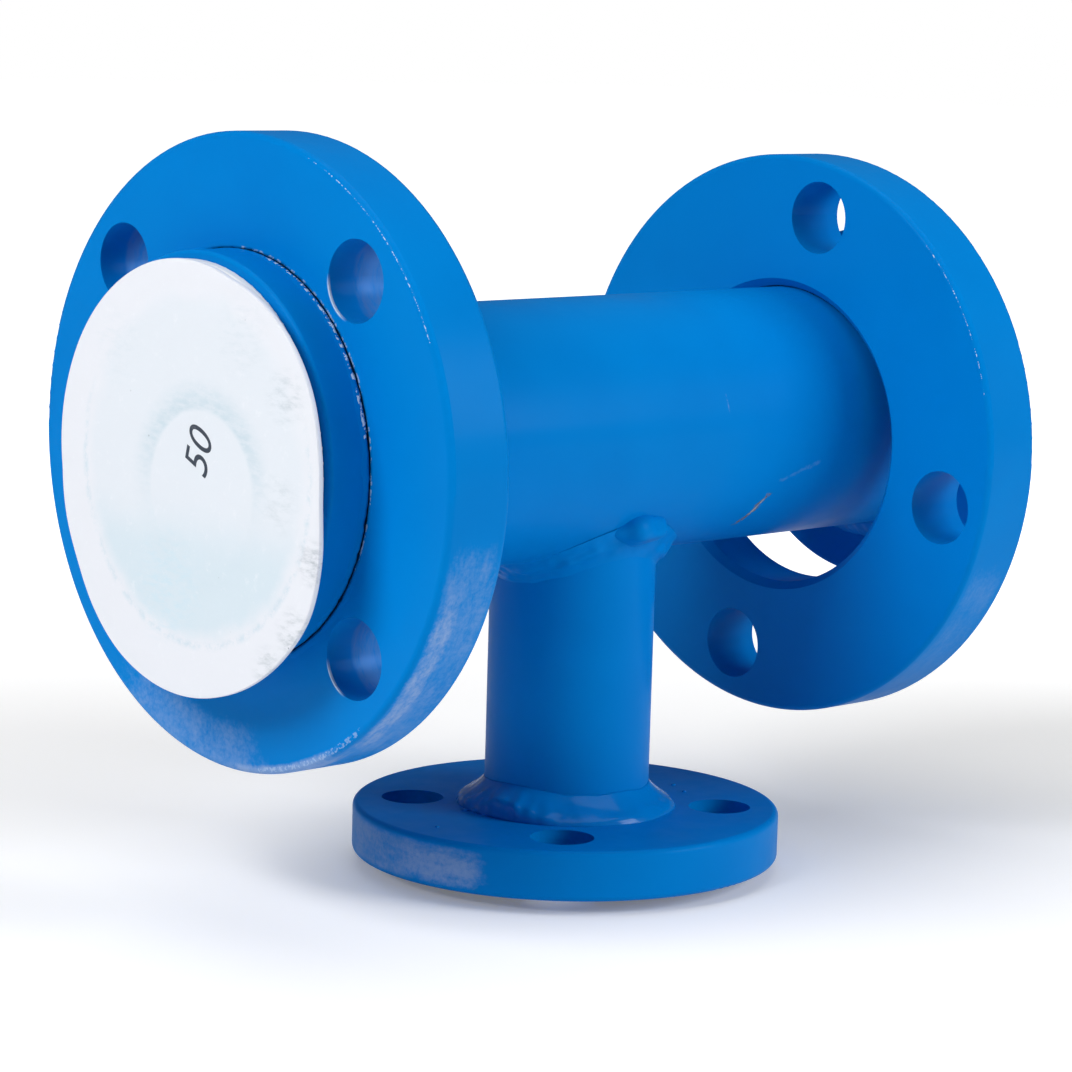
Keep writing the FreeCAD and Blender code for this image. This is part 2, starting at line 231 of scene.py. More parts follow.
class StageSettings(bpy.types.PropertyGroup):
    floor: FloatVectorProperty(
        name="Floor",
        description="Pale floor",
        subtype="COLOR",
        default=from_hex("#FAFAFA"),
    )
    key_power: FloatProperty(
        name="Key lamp",
        description="Power of the softbox that faces the cover",
        unit="POWER",
        default=18.8,
    )
    side_power: FloatProperty(
        name="Side lamp",
        description="Power of the softbox beside the run",
        unit="POWER",
        default=16.0,
    )
    top_power: FloatProperty(
        name="Top lamp",
        description="Power of the softbox overhead",
        unit="POWER",
        default=7.5,
    )
    fill: FloatProperty(
        name="Fill",
        description="Strength of the even light from all round",
        default=0.09,
    )


class TeeSettings(bpy.types.PropertyGroup):
    paint: PointerProperty(type=PaintSettings)
    weld: PointerProperty(type=WeldSettings)
    cover: PointerProperty(type=CoverSettings)
    stage: PointerProperty(type=StageSettings)


# Materials


def connect(tree, node, values):
    """Sets a node's inputs from plain values, sockets or the first outputs of other nodes."""
    for name, value in values.items():
        if isinstance(value, bpy.types.Node):
            value = value.outputs[0]
        if isinstance(value, bpy.types.NodeSocket):
            tree.links.new(value, node.inputs[name])
        else:
            node.inputs[name].default_value = value


def add(tree, kind, *values, **settings):
    """Adds one shader node with its settings; its inputs come in order, or by name in one dict."""
    node = tree.nodes.new("ShaderNode" + kind)
    for name, value in settings.items():
        setattr(node, name, value)
    by_name = values and isinstance(values[0], dict)
    connect(tree, node, values[0] if by_name else dict(enumerate(values)))
    return node


def product(tree, first, *others):
    """Masks or values multiplied together."""
    for other in others:
        first = add(tree, "Math", first, other, operation="MULTIPLY")
    return first


def fade(tree, value, low, high, start=0.0, end=1.0):
    """Goes smoothly from start to end while a value goes from low to high."""
    limits = {"Value": value, "From Min": low, "From Max": high, "To Min": start, "To Max": end}
    return add(tree, "MapRange", limits, interpolation_type="SMOOTHSTEP")


def near(tree, value, low, high, soft):
    """1 where the value lies between low and high, fading out over soft."""
    from_middle = add(tree, "Math", value, (low + high) / 2, operation="SUBTRACT")
    off = add(tree, "Math", from_middle, operation="ABSOLUTE")
    half = (high - low) / 2
    return fade(tree, off, half - soft, half + soft, 1.0, 0.0)


def lay(tree, colour, tone, mask, strength=1.0):
    """Lays a tone over a colour where a mask shows it."""
    amount = product(tree, mask, strength)
    shades = {"Factor": amount, "A": colour, "B": opaque(tone)}
    return add(tree, "Mix", shades, data_type="RGBA").outputs[2]


def specks(tree, position, size, detail=4.0, roughness=0.6):
    """Cloudy noise whose spots are about one size across."""
    cloud = {"Vector": position, "Scale": 1.0 / size, "Detail": detail, "Roughness": roughness}
    return add(tree, "TexNoise", cloud)


def new_material(name):
    material = bpy.data.materials.new(name)
    material.use_nodes = True
    tree = material.node_tree
    shader = tree.nodes["Principled BSDF"]
    return material, tree, shader


def places(tree, axis, centre):
    """Position, then the angle round an axis through a centre, the radius and the way along it."""
    at = add(tree, "TexCoord").outputs["Object"]
    shift = tuple(-value for value in centre)
    split = add(tree, "SeparateXYZ", add(tree, "Mapping", {"Vector": at, "Location": shift})).outputs
    if axis == "X":
        side = product(tree, split["Y"], -1.0)
        up, along = split["Z"], split["X"]
    else:
        side, up, along = split["Y"], split["X"], split["Z"]
    angle = add(tree, "Math", side, up, operation="ARCTAN2")
    flat = add(tree, "CombineXYZ", side, up)
    radius = add(tree, "VectorMath", flat, operation="LENGTH").outputs["Value"]
    return at, angle, radius, along


def streaks(tree, at, axis, size, stretch):
    """Cloudy noise drawn out round the axis by a stretch."""
    scale = Vector((1, 1, 1)) / stretch
    scale["XYZ".index(axis)] = 1.0
    drawn = add(tree, "VectorMath", at, scale, operation="MULTIPLY")
    return specks(tree, drawn, size, 3.0, 0.7)


def zone(tree, place, degrees, radii, lengths, soft, side=0.6):
    """1 inside a patch given by its angles, its radii and its lengths in millimetres; it fades over
    soft degrees at its ends and over side millimetres at its sides."""
    _, angle, radius, along = place
    middle = math.radians(sum(degrees) / 2)
    half = math.radians((degrees[1] - degrees[0]) / 2)
    turned = add(tree, "Math", angle, middle, operation="SUBTRACT")
    wrapped = add(tree, "Math", turned, math.pi, -math.pi, operation="WRAP")
    by_angle = near(tree, wrapped, -half, half, math.radians(soft))
    by_radius = near(tree, radius, radii[0] * MM, radii[1] * MM, side * MM)
    by_length = near(tree, along, lengths[0] * MM, lengths[1] * MM, side * MM)
    return product(tree, by_angle, by_radius, by_length)


def line_mark(tree, at, start, end, outward, width):
    """1 along a wavering scratch between two points in millimetres, on the outward side only."""
    start, end = Vector(start) * MM, Vector(end) * MM
    run = (end - start).normalized()
    across = run.cross(Vector(outward)).normalized()
    local = add(tree, "VectorMath", at, (start + end) / 2, operation="SUBTRACT")
    sway = add(tree, "Math", specks(tree, at, 3 * MM), 0.5, operation="SUBTRACT")
    waver = product(tree, sway, width * MM * 3)
    sides = (
        (run, (end - start).length / 2, 0.8 * MM),
        (across, width * MM / 2, width * MM / 3),
    )
    masks = []
    for direction, half, soft in sides:
        reach = add(tree, "VectorMath", local, direction, operation="DOT_PRODUCT").outputs["Value"]
        swayed = add(tree, "Math", reach, waver, operation="ADD")
        masks.append(near(tree, swayed, -half, half, soft))
    height = add(tree, "VectorMath", local, outward, operation="DOT_PRODUCT").outputs["Value"]
    return product(tree, *masks, near(tree, height, -SCRATCH_REACH, SCRATCH_REACH, 1 * MM))


def sprayed_enamel(
    name,
    axis="X",
    centre=(0, 0, 0),
    scuffs_and_sheen=(),
    chips=(),
    scratches=(),
    rough=(),
    painted_shade=(),
    highlight_arcs=(),
    drilled=None,
    gloss=0.0,
):
    """Blue alkyd enamel sprayed on steel: a deep even blue with a soft gloss, fine orange peel and
    a few dust nibs; knocks leave dull pale scuffs on the rims and bright chips along the edges.
    Where they are asked for, it also carries painted sheen, painted highlights on hole edges and
    painted shade in a narrow joint."""
    paint = bpy.context.scene.tee.paint
    material, tree, shader = new_material(name)
    place = places(tree, axis, centre)
    at, angle, radius, along = place

    # The coat lies a little thicker in slow clouds about 30 mm across.
    cloud = fade(tree, specks(tree, at, 30 * MM, 2.0, 0.45), 0.35, 0.7)
    colour = lay(tree, opaque(paint.enamel), paint.enamel_deep, cloud, 0.2)

    # Handling marks and painted sheen: pale broken patches with a grain of about 1.2 mm, streaked round the
    # rim.
    grain = specks(tree, at, 1.2 * MM, 3.0, 0.7)
    drift = specks(tree, at, 9 * MM, 2.0, 0.6)
    rubbed = streaks(tree, at, axis, 2.2 * MM, 3.5)
    ragged = add(tree, "Math", grain, drift, operation="ADD")
    ragged = product(tree, add(tree, "Math", ragged, rubbed, operation="ADD"), 0.5)
    dull = 0.0
    for degrees, radii, lengths, soft, side, strength in scuffs_and_sheen:
        patch = zone(tree, place, degrees, radii, lengths, soft, side)
        shown = product(tree, fade(tree, product(tree, patch, ragged), 0.36, 0.82), strength)
        colour = lay(tree, colour, paint.scuff_and_sheen, shown)
        dull = add(tree, "Math", dull, shown, operation="MAXIMUM")

    # Edge chips: bright spots under 1 mm long in a dotted line.
    dots = specks(tree, at, 1.1 * MM, 2.0, 0.7)
    for degrees, radii, lengths, soft, strength in chips:
        edge = zone(tree, place, degrees, radii, lengths, soft, 0.3)
        spotted = fade(tree, product(tree, edge, dots), 0.49, 0.57)
        colour = lay(tree, colour, paint.chip_and_highlight, spotted, strength)

    for start, end, outward, width, strength, tone in scratches:
        mark = line_mark(tree, at, start, end, outward, width)
        broken = product(tree, mark, fade(tree, grain, 0.35, 0.55))
        colour = lay(tree, colour, getattr(paint, tone), broken, strength)

    # Painted highlights: bright arcs on the edges of holes, where a rounded edge would catch the light.
    for middle, ring, degrees, strength in highlight_arcs:
        spot = add(tree, "VectorMath", at, Vector(middle) * MM, operation="SUBTRACT")
        split = add(tree, "SeparateXYZ", spot).outputs
        turn = add(tree, "Math", split["Z"], split["Y"], operation="ARCTAN2")
        flat = add(tree, "CombineXYZ", {1: split["Y"], 2: split["Z"]})
        reach = add(tree, "VectorMath", flat, operation="LENGTH").outputs["Value"]
        on_edge = near(tree, reach, (ring - 0.3) * MM, (ring + 0.35) * MM, 0.15 * MM)
        on_arc = near(tree, turn, math.radians(degrees[0]), math.radians(degrees[1]), math.radians(12))
        on_face = near(tree, split["X"], -0.5 * MM, 0.5 * MM, 0.2 * MM)
        mark = product(tree, on_edge, on_arc, on_face)
        colour = lay(tree, colour, paint.chip_and_highlight, mark, strength)

    # Painted shade: near-black laid in the narrow joint beside the collar, where no light gets in.
    for degrees, radii, lengths, soft in painted_shade:
        joint_shade = zone(tree, place, degrees, radii, lengths, soft, 0.15)
        colour = lay(tree, colour, from_hex("#020814"), joint_shade, 0.9)

    # Drilled holes: past the middle of the plate their walls carry little enamel.
    if drilled:
        circle, hole, first, depths = drilled
        turned = add(tree, "Math", angle, math.radians(first), operation="SUBTRACT")
        quarter = add(tree, "Math", turned, math.pi / 4, -math.pi / 4, operation="WRAP")
        sideways = product(tree, radius, add(tree, "Math", quarter, operation="SINE"))
        outwards = product(tree, radius, add(tree, "Math", quarter, operation="COSINE"))
        outwards = add(tree, "Math", outwards, circle * MM, operation="SUBTRACT")
        both = add(tree, "CombineXYZ", sideways, outwards)
        reach = add(tree, "VectorMath", both, operation="LENGTH").outputs["Value"]
        wall = near(tree, reach, (hole - 0.4) * MM, (hole + 0.15) * MM, 0.1 * MM)
        depth = add(tree, "Math", along, product(tree, drift, 3 * MM), operation="ADD")
        deep = near(tree, depth, depths[0] * MM, depths[1] * MM, 0.8 * MM)
        thin = product(tree, wall, deep, fade(tree, rubbed, 0.2, 0.6))
        colour = lay(tree, colour, from_hex("#8E8CA0"), thin, 0.22)
        connect(tree, shader, {"Metallic": product(tree, thin, 0.12)})

    # Orange peel about 1.4 mm across and dust nibs about 0.5 mm, far apart.
    peel = product(tree, specks(tree, at, 1.4 * MM, 1.0, 0.4), 0.3)
    cells = add(tree, "TexVoronoi", {"Vector": at, "Scale": 1 / (8 * MM)}, feature="F1")
    nibs = product(tree, fade(tree, cells, 0.02, 0.06, 1.0, 0.0), 0.8)
    height = add(tree, "Math", peel, nibs, operation="ADD")
    for degrees, radii, lengths, soft, side, strength in rough:
        pitted = specks(tree, at, 0.9 * MM, 3.0, 0.7)
        crust = product(tree, zone(tree, place, degrees, radii, lengths, soft, side), strength, pitted)
        height = add(tree, "Math", height, crust, operation="ADD")

    sheen = fade(tree, drift, 0.3, 0.7, 0.34 - 0.14 * gloss, 0.42 - 0.14 * gloss)
    look = {
        "Base Color": colour,
        "Roughness": add(tree, "Math", sheen, product(tree, dull, 0.3), operation="ADD"),
        "Normal": add(tree, "Bump", {"Strength": 0.5, "Distance": 0.06 * MM, "Height": height}),
        "IOR": 1.5,
        "Specular IOR Level": 0.05,
        "Specular Tint": opaque(from_hex("#2590FF")),
        "Coat Weight": 0.02 + 0.3 * gloss,
        "Coat Roughness": 0.16,
    }
    connect(tree, shader, look)
    return material


def moulded_fluoropolymer():
    """White fluoropolymer liner, drawn and flared hot: waxy, even white with faint turning marks."""
    material, tree, shader = new_material("moulded_fluoropolymer")
    at, _, radius, _ = places(tree, "X", (0, 0, 0))
    haze = fade(tree, specks(tree, at, 18 * MM, 3.0, 0.5), 0.4, 0.75)
    # Turning marks about 0.8 mm apart on the flare faces.
    turning = add(tree, "Math", product(tree, radius, math.tau / (0.8 * MM)), operation="SINE")
    look = {
        "Base Color": lay(tree, opaque(from_hex("#EEF0EF")), from_hex("#E2E5E6"), haze),
        "Normal": add(tree, "Bump", {"Strength": 0.3, "Distance": 0.02 * MM, "Height": turning}),
        "Roughness": 0.4,
        "IOR": 1.35,
        "Subsurface Weight": 0.08,
        "Subsurface Radius": (4 * MM, 4 * MM, 4 * MM),
    }
    connect(tree, shader, look)
    return material


def pressed_polyethylene():
    """Off-white polyethylene sheet, cut by hand: matt and a little cloudy, bluer inside the flare's
    circle and most of all towards the bottom, with a streaky grey ring over the bore, rubbed
    smudges and small dark specks."""
    cover = bpy.context.scene.tee.cover
    material, tree, shader = new_material("pressed_polyethylene")
    at = add(tree, "TexCoord").outputs["Object"]
    split = add(tree, "SeparateXYZ", at).outputs
    flat = add(tree, "CombineXYZ", COVER_BACK, split["Y"], split["Z"])

    def from_centre(centre):
        """Distance over the sheet from a centre in millimetres."""
        spot = Vector((COVER_BACK, centre[0] * MM, centre[1] * MM))
        return add(tree, "VectorMath", flat, spot, operation="DISTANCE").outputs["Value"]

    cloud = specks(tree, at, 12 * MM, 4.0, 0.55)
    smears = specks(tree, at, 3.2 * MM, 5.0, 0.75)
    slant = add(tree, "Mapping", {"Vector": at, "Scale": (1, 0.35, 1), "Rotation": (0.6, 0, 0)})
    hatch = specks(tree, slant, 1.3 * MM, 4.0, 0.65)
    spread = product(tree, add(tree, "Math", cloud, 0.5, operation="SUBTRACT"), 7 * MM)

    # Bluer inside the liner's flare, most of all below the axis.
    flare = from_centre(FLARE_MARK)
    reach = add(tree, "Math", flare, spread, operation="ADD")
    level = add(tree, "Math", split["Z"], spread, operation="ADD")
    inside_flare = fade(tree, reach, 36 * MM, 42 * MM, 1.0, 0.0)
    lower = fade(tree, level, -24 * MM, -8 * MM, 1.0, 0.3)
    colour = lay(tree, opaque(cover.plastic), cover.plastic_bluer, product(tree, inside_flare, lower))
    colour = lay(tree, colour, from_hex("#F2F5FB"), fade(tree, smears, 0.55, 0.8), 0.5)

    # A streaky ring round the bore, fainter below.
    bore = from_centre(BORE_MARK)
    ring = product(
        tree,
        fade(tree, bore, 18 * MM, 19.6 * MM),
        fade(tree, bore, 20 * MM, 27 * MM, 1.0, 0.0),
        fade(tree, split["Z"], -14 * MM, 8 * MM, 0.12, 1.0),
        fade(tree, hatch, 0.3, 0.7, 0.35, 1.0),
    )
    colour = lay(tree, colour, from_hex("#C2D6E1"), ring, 0.75)

    # A broken line along the edge of the flare, fading out upwards.
    line = product(
        tree,
        near(tree, flare, 40.8 * MM, 42.2 * MM, 0.9 * MM),
        fade(tree, smears, 0.4, 0.65),
        fade(tree, split["Z"], 0.0, 20 * MM, 1.0, 0.0),
    )
    colour = lay(tree, colour, from_hex("#C3D8E4"), line, 0.6)

    # Smudges, each with its centre and radius in millimetres, its colour and its strength.
    for centre, size, code, strength in (
        ((4, -30), 17, "#C6E2EF", 0.5),
        ((-48, -18), 7, "#8D9AA4", 0.6),
        ((-42, -35), 8, "#99A5AD", 0.6),
        ((-33, -44), 7, "#A9B4BB", 0.6),
        ((-38, 18), 9, "#B5C2CB", 0.5),
        ((-36, -6), 9, "#C0CCD4", 0.4),
        ((-22, 30), 12, "#CBD8E1", 0.35),
        ((24, 24), 12, "#D3DFE8", 0.35),
    ):
        faded = fade(tree, from_centre(centre), 0.25 * size * MM, size * MM, 1.0, 0.0)
        rubbed = product(tree, faded, fade(tree, hatch, 0.4, 0.75))
        colour = lay(tree, colour, from_hex(code), rubbed, strength)

    # Dark grit, one grain every 6 mm or so.
    cells = add(tree, "TexVoronoi", {"Vector": at, "Scale": 1 / (6 * MM)}, feature="F1")
    grit = product(tree, fade(tree, cells, 0.02, 0.05, 1.0, 0.0), fade(tree, cloud, 0.5, 0.6))
    colour = lay(tree, colour, from_hex("#7A858E"), grit, 0.7)

    grain = specks(tree, at, 0.7 * MM, 3.0, 0.6)
    height = add(tree, "Math", grain, product(tree, smears, 0.6), operation="ADD")
    look = {
        "Base Color": colour,
        "Normal": add(tree, "Bump", {"Strength": 0.4, "Distance": 0.05 * MM, "Height": height}),
        "Roughness": 0.5,
        "IOR": 1.5,
        "Specular IOR Level": 0.3,
    }
    connect(tree, shader, look)
    return material


def stamped_ink():
    """Slate marking ink rolled on thin: matt, worn through in small breaks."""
    cover = bpy.context.scene.tee.cover
    material, tree, shader = new_material("stamped_ink")
    at = add(tree, "TexCoord").outputs["Object"]
    thin = fade(tree, specks(tree, at, 1.2 * MM, 4.0, 0.7), 0.55, 0.8)
    colour = lay(tree, opaque(cover.ink), cover.plastic, thin, 0.2)
    connect(tree, shader, {"Base Color": colour, "Roughness": 0.7})
    return material


def bare_floor():
    """Matt pale floor, seen as plain white away from the shadow."""
    stage = bpy.context.scene.tee.stage
    material, tree, shader = new_material("matt_floor")
    look = {"Base Color": opaque(stage.floor), "Roughness": 0.9, "Specular IOR Level": 0.1}
    connect(tree, shader, look)
    at = add(tree, "TexCoord").outputs["Object"]
    away = add(tree, "VectorMath", at, operation="LENGTH").outputs["Value"]
    seen = add(tree, "LightPath").outputs["Is Camera Ray"]
    whiter = product(tree, seen, fade(tree, away, 0.15, 0.8, 0.16, 1.0))
    glow = add(tree, "Emission", {"Color": (1, 1, 1, 1), "Strength": whiter})
    connect(tree, tree.nodes["Material Output"], {"Surface": add(tree, "AddShader", shader, glow)})
    material.cycles.emission_sampling = "NONE"
    return material


# Shapes


def nothing_selected():
    """Leaves edit mode and deselects everything, so that an operator acts on the new piece only."""
    if bpy.context.mode != "OBJECT":
        bpy.ops.object.mode_set(mode="OBJECT")
    bpy.ops.object.select_all(action="DESELECT")


def pick(piece):
    nothing_selected()
    piece.select_set(True)
    bpy.context.view_layer.objects.active = piece


def closed_ring(name, segments, section_points, point):
    """A closed ring shaped from a torus: point(turn, share) gives each vertex from its angle
    round the ring and its share of the way round the section."""
    nothing_selected()
    bpy.ops.mesh.primitive_torus_add(
        major_segments=segments, minor_segments=section_points, major_radius=1.0, minor_radius=0.25
    )
    ring = bpy.context.object
    ring.name = name
    for vertex in ring.data.vertices:
        turn = math.atan2(vertex.co.y, vertex.co.x)
        around = math.atan2(vertex.co.z, math.hypot(vertex.co.x, vertex.co.y) - 1.0)
        vertex.co = point(turn, (around / math.tau) % 1.0)
    bpy.ops.object.mode_set(mode="EDIT")
    bpy.ops.mesh.select_all(action="SELECT")
    bpy.ops.mesh.normals_make_consistent(inside=False)
    bpy.ops.object.mode_set(mode="OBJECT")
    bpy.ops.object.shade_smooth()
    return ring


def place_piece(piece, body, material, node=None):
    """Gives a piece its material and its body, and hides the solid that it stands for."""
    piece.data.materials.clear()
    piece.data.materials.append(material)
    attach(piece, body)
    if node:
        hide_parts(node)


def fillet_section(share, up, out, leg_up, leg_out, hollow, bulge, sink, toe=None, skew=1.0):
    """A point on a weld's closed section: its face from the wall's toe to the base's toe, and its
    back sunk a little into both parts. A hollow above 1 runs out smoothly into the wall, and a toe
    below 1 rounds the edge on the base, as does a skew above 1, which moves the bulge there."""
    if share < FACE_SHARE:
        across = share / FACE_SHARE
        face = up * leg_up * (1 - across) ** hollow + out * leg_out * across ** (toe or hollow)
        lift = (up + out) * (bulge * math.sin(math.pi * across**skew) / math.sqrt(2))
        return face + lift - out * sink * (1 - across) ** 4 - up * sink * across**4
    back = (share - FACE_SHARE) / (1 - FACE_SHARE)
    if back < 0.5:
        return out * (leg_out * (1 - 2 * back) - sink * 2 * back) - up * sink
    return up * (leg_up * (2 * back - 1) - sink * (2 - 2 * back)) - out * sink


def saddle_point(turn, share):
    """A point on the bead that follows the branch pipe where it meets the run pipe."""
    weld = bpy.context.scene.tee.weld
    radial = Vector((math.cos(turn), math.sin(turn), 0))
    side = BRANCH_RADIUS * math.sin(turn)
    corner = Vector((BRANCH_RADIUS * math.cos(turn), side, -math.sqrt(RUN_RADIUS**2 - side**2)))
    run_normal = Vector((0, corner.y, corner.z)).normalized()
    up = (radial - run_normal * radial.dot(run_normal)).normalized()
    out = Vector((0, 0, -1))
    across = min(share / FACE_SHARE, 1.0)
    ripples = round(math.tau * BRANCH_RADIUS / weld.ripple)
    wave = math.sin(ripples * turn + 2.4 * math.cos(math.pi * across))
    drift = noise.noise(corner * 90) + 0.5 * noise.noise(corner * 230)
    # Two passes lie side by side, so a shallow groove wanders along the bead.
    passes = noise.noise(Vector((turn * 2.6, across * 2.8, 3.0)))
    passes += 0.6 * noise.noise(Vector((turn * 6, across * 5, 8.0)))
    leg_up = weld.saddle_leg + (0.5 * drift + 0.05 * wave) * MM
    leg_out = weld.saddle_leg + (0.7 * drift + 0.3) * MM
    bulge = (0.55 + 0.06 * wave + 0.3 * drift + 0.75 * passes) * MM
    return corner + fillet_section(share, up, out, leg_up, leg_out, 1.28, bulge, BEAD_SINK)


def foot_point(turn, share):
    """A point on the bead round the foot of the branch pipe."""
    weld = bpy.context.scene.tee.weld
    degrees = math.degrees(turn)
    out = Vector((math.cos(turn), math.sin(turn), 0))
    up = Vector((0, 0, 1))
    corner = out * BRANCH_RADIUS + up * FOOT_TOP
    across = min(share / FACE_SHARE, 1.0)
    ripples = round(math.tau * BRANCH_RADIUS / weld.ripple)
    wave = math.sin(ripples * turn + 2.2 * math.cos(math.pi * across))
    drift = noise.noise(corner * 110) + 0.5 * noise.noise(corner * 240)
    passes = noise.noise(Vector((turn * 2.4, across * 2.6, 12.0)))
    # The near left is heaped up where the run ended; the rest lies smooth.
    heap = math.exp(-((((degrees - 186 + 180) % 360 - 180) / 30) ** 2))
    grit = heap * noise.noise(Vector((turn * 9, across * 3.2, 5.0)))
    leg_up = weld.foot_leg + (0.5 * drift + 1.5 * heap) * MM
    leg_out = weld.foot_leg + (0.6 + 0.4 * drift + 0.5 * grit - 0.6 * heap) * MM
    bulge = (1.2 + 0.03 * wave + 0.2 * drift + 0.35 * passes + 0.9 * heap + 0.5 * grit) * MM
    hollow = 1.9 - 0.6 * heap
    skew = 1.6 - 0.4 * heap
    return corner + fillet_section(share, up, out, leg_up, leg_out, hollow, bulge, BEAD_SINK, 0.85, skew)


def collar_point(turn, share, face, inward):
    """A point on the bead between a collar's back and the run pipe."""
    weld = bpy.context.scene.tee.weld
    out = Vector((inward, 0, 0))
    up = Vector((0, math.cos(turn), math.sin(turn)))
    corner = up * RUN_RADIUS + Vector((face, 0, 0))
    ripples = round(math.tau * RUN_RADIUS / weld.ripple)
    wave = math.sin(ripples * turn)
    leg = weld.collar_leg + 0.12 * wave * MM
    bulge = (0.3 + 0.12 * wave) * MM
    return corner + fillet_section(share, up, out, leg, leg, 1.0, bulge, BEAD_SINK)


def torn_on_collar(turn, share):
    """Enamel left on the collar, torn along a ragged line just short of the flange."""
    radial = Vector((0, math.cos(turn), math.sin(turn)))
    tear = abs(noise.noise(radial * 26)) * 0.4 + abs(noise.noise(radial * 80)) * 0.45
    edge = COLLAR_BACK - (0.02 + tear) * MM
    far = COLLAR_BACK - (2.2 + noise.noise(radial * 9)) * MM
    outside = COLLAR_RADIUS + 0.14 * MM
    inside = COLLAR_RADIUS - SKIN_SINK
    spots = ((edge, inside), (edge, outside), ((edge + far) / 2, outside - 0.06 * MM), (far, inside))
    return skin_point(spots, share, radial)


def torn_on_flange(turn, share):
    """Enamel left on the flange face, torn along the same line."""
    radial = Vector((0, math.cos(turn), math.sin(turn)))
    tear = abs(noise.noise(radial * 28 + Vector((5, 0, 0)))) * 0.35 + abs(noise.noise(radial * 84)) * 0.35
    edge = COLLAR_RADIUS + (0.12 + tear) * MM
    far = COLLAR_RADIUS + (2.4 + noise.noise(radial * 9)) * MM
    raised = FLANGE_FACE - 0.12 * MM
    sunk = FLANGE_FACE + SKIN_SINK
    spots = ((sunk, edge), (raised, edge), (raised + 0.06 * MM, (edge + far) / 2), (sunk, far))
    return skin_point(spots, share, radial)


def skin_point(spots, share, radial):
    """A point on a thin closed skin whose section has four corners."""
    walk = share * len(spots)
    first = int(walk) % len(spots)
    part = walk - int(walk)
    start, end = spots[first], spots[(first + 1) % len(spots)]
    along = start[0] + (end[0] - start[0]) * part
    radius = start[1] + (end[1] - start[1]) * part
    return Vector((along, 0, 0)) + radial * radius


def lumps(name, blobs):
    """Rounded drops of weld in one piece, each from its place and its three half sizes."""
    nothing_selected()
    bpy.ops.mesh.primitive_ico_sphere_add(subdivisions=4, radius=1.0)
    first = bpy.context.object
    bpy.ops.object.shade_smooth()
    drops = [first]
    for _ in blobs[1:]:
        pick(first)
        bpy.ops.object.duplicate()
        drops.append(bpy.context.object)
    for drop, (place, half) in zip(drops, blobs):
        for vertex in drop.data.vertices:
            wobble = 1 + 0.2 * noise.noise(vertex.co * 1.2 + place * 400)
            shaped = Vector(vertex.co[axis] * half[axis] for axis in range(3))
            vertex.co = place + shaped * wobble
    pick(first)
    for drop in drops:
        drop.select_set(True)
    bpy.ops.object.join()
    first.name = name
    return first


def cover_edge(turn):
    """Radius of the hand-cut cover at an angle, eased between the measured radii."""
    place = (turn % math.tau) / math.tau * len(COVER_RADII)
    first = int(place)
    share = place - first
    around = [COVER_RADII[(first + offset) % len(COVER_RADII)] for offset in (-1, 0, 1, 2)]
    before, start, end, after = around
    bend = 2 * before - 5 * start + 4 * end - after
    twist = 3 * (start - end) + after - before
    cut = (start + 0.5 * share * (end - before + share * (bend + share * twist))) * MM
    # The sheet is never cut inside the liner's flare, which it covers.
    centre = Vector(COVER_CENTRE) * MM
    ray = centre.x * math.cos(turn) + centre.y * math.sin(turn)
    flare = math.sqrt(ray**2 + LINER_FLARE**2 - centre.length_squared) - ray
    return max(cut, flare + 0.15 * MM)


def imprint(point):
    """Depth of the marks that the liner's bore and flare have pressed into the cover."""
    bore = math.hypot(point.y - BORE_MARK[0] * MM, point.z - BORE_MARK[1] * MM) - 18.8 * MM
    flare = math.hypot(point.y - FLARE_MARK[0] * MM, point.z - FLARE_MARK[1] * MM) - 41.5 * MM
    ring = math.exp(-((bore / (1.2 * MM)) ** 2)) * 0.14 * MM
    outer = math.exp(-(((bore - 4 * MM) / (2.4 * MM)) ** 2)) * 0.08 * MM
    rim = math.exp(-((flare / (1.5 * MM)) ** 2)) * 0.1 * MM
    waves = 0.1 * MM * (noise.noise(point * 45) + 0.5)
    return ring + outer + rim + waves


class OBJECT_OT_saddle_bead(bpy.types.Operator):
    """Lay the bead between run pipe and branch pipe"""

    bl_idname = "tee.saddle_bead"
    bl_label = "Saddle bead"

    def execute(self, context):
        enamel = sprayed_enamel("sprayed_enamel_saddle")
        bead = closed_ring("saddle_bead", 540, 40, saddle_point)
        place_piece(bead, FITTING, enamel, "saddle_weld")
        # Where the bead was started and stopped: place and half sizes of the two drops.
        stops = (
            ((0.1, -22.2, -23.1), (8.6, 6.2, 4.7)),
            ((8.2, -18.8, -24.6), (4.8, 4.4, 4.2)),
        )
        blobs = []
        for place, halves in stops:
            blobs.append((Vector(place) * MM, tuple(half * MM for half in halves)))
        place_piece(lumps("saddle_stop", blobs), FITTING, enamel)
        return {"FINISHED"}


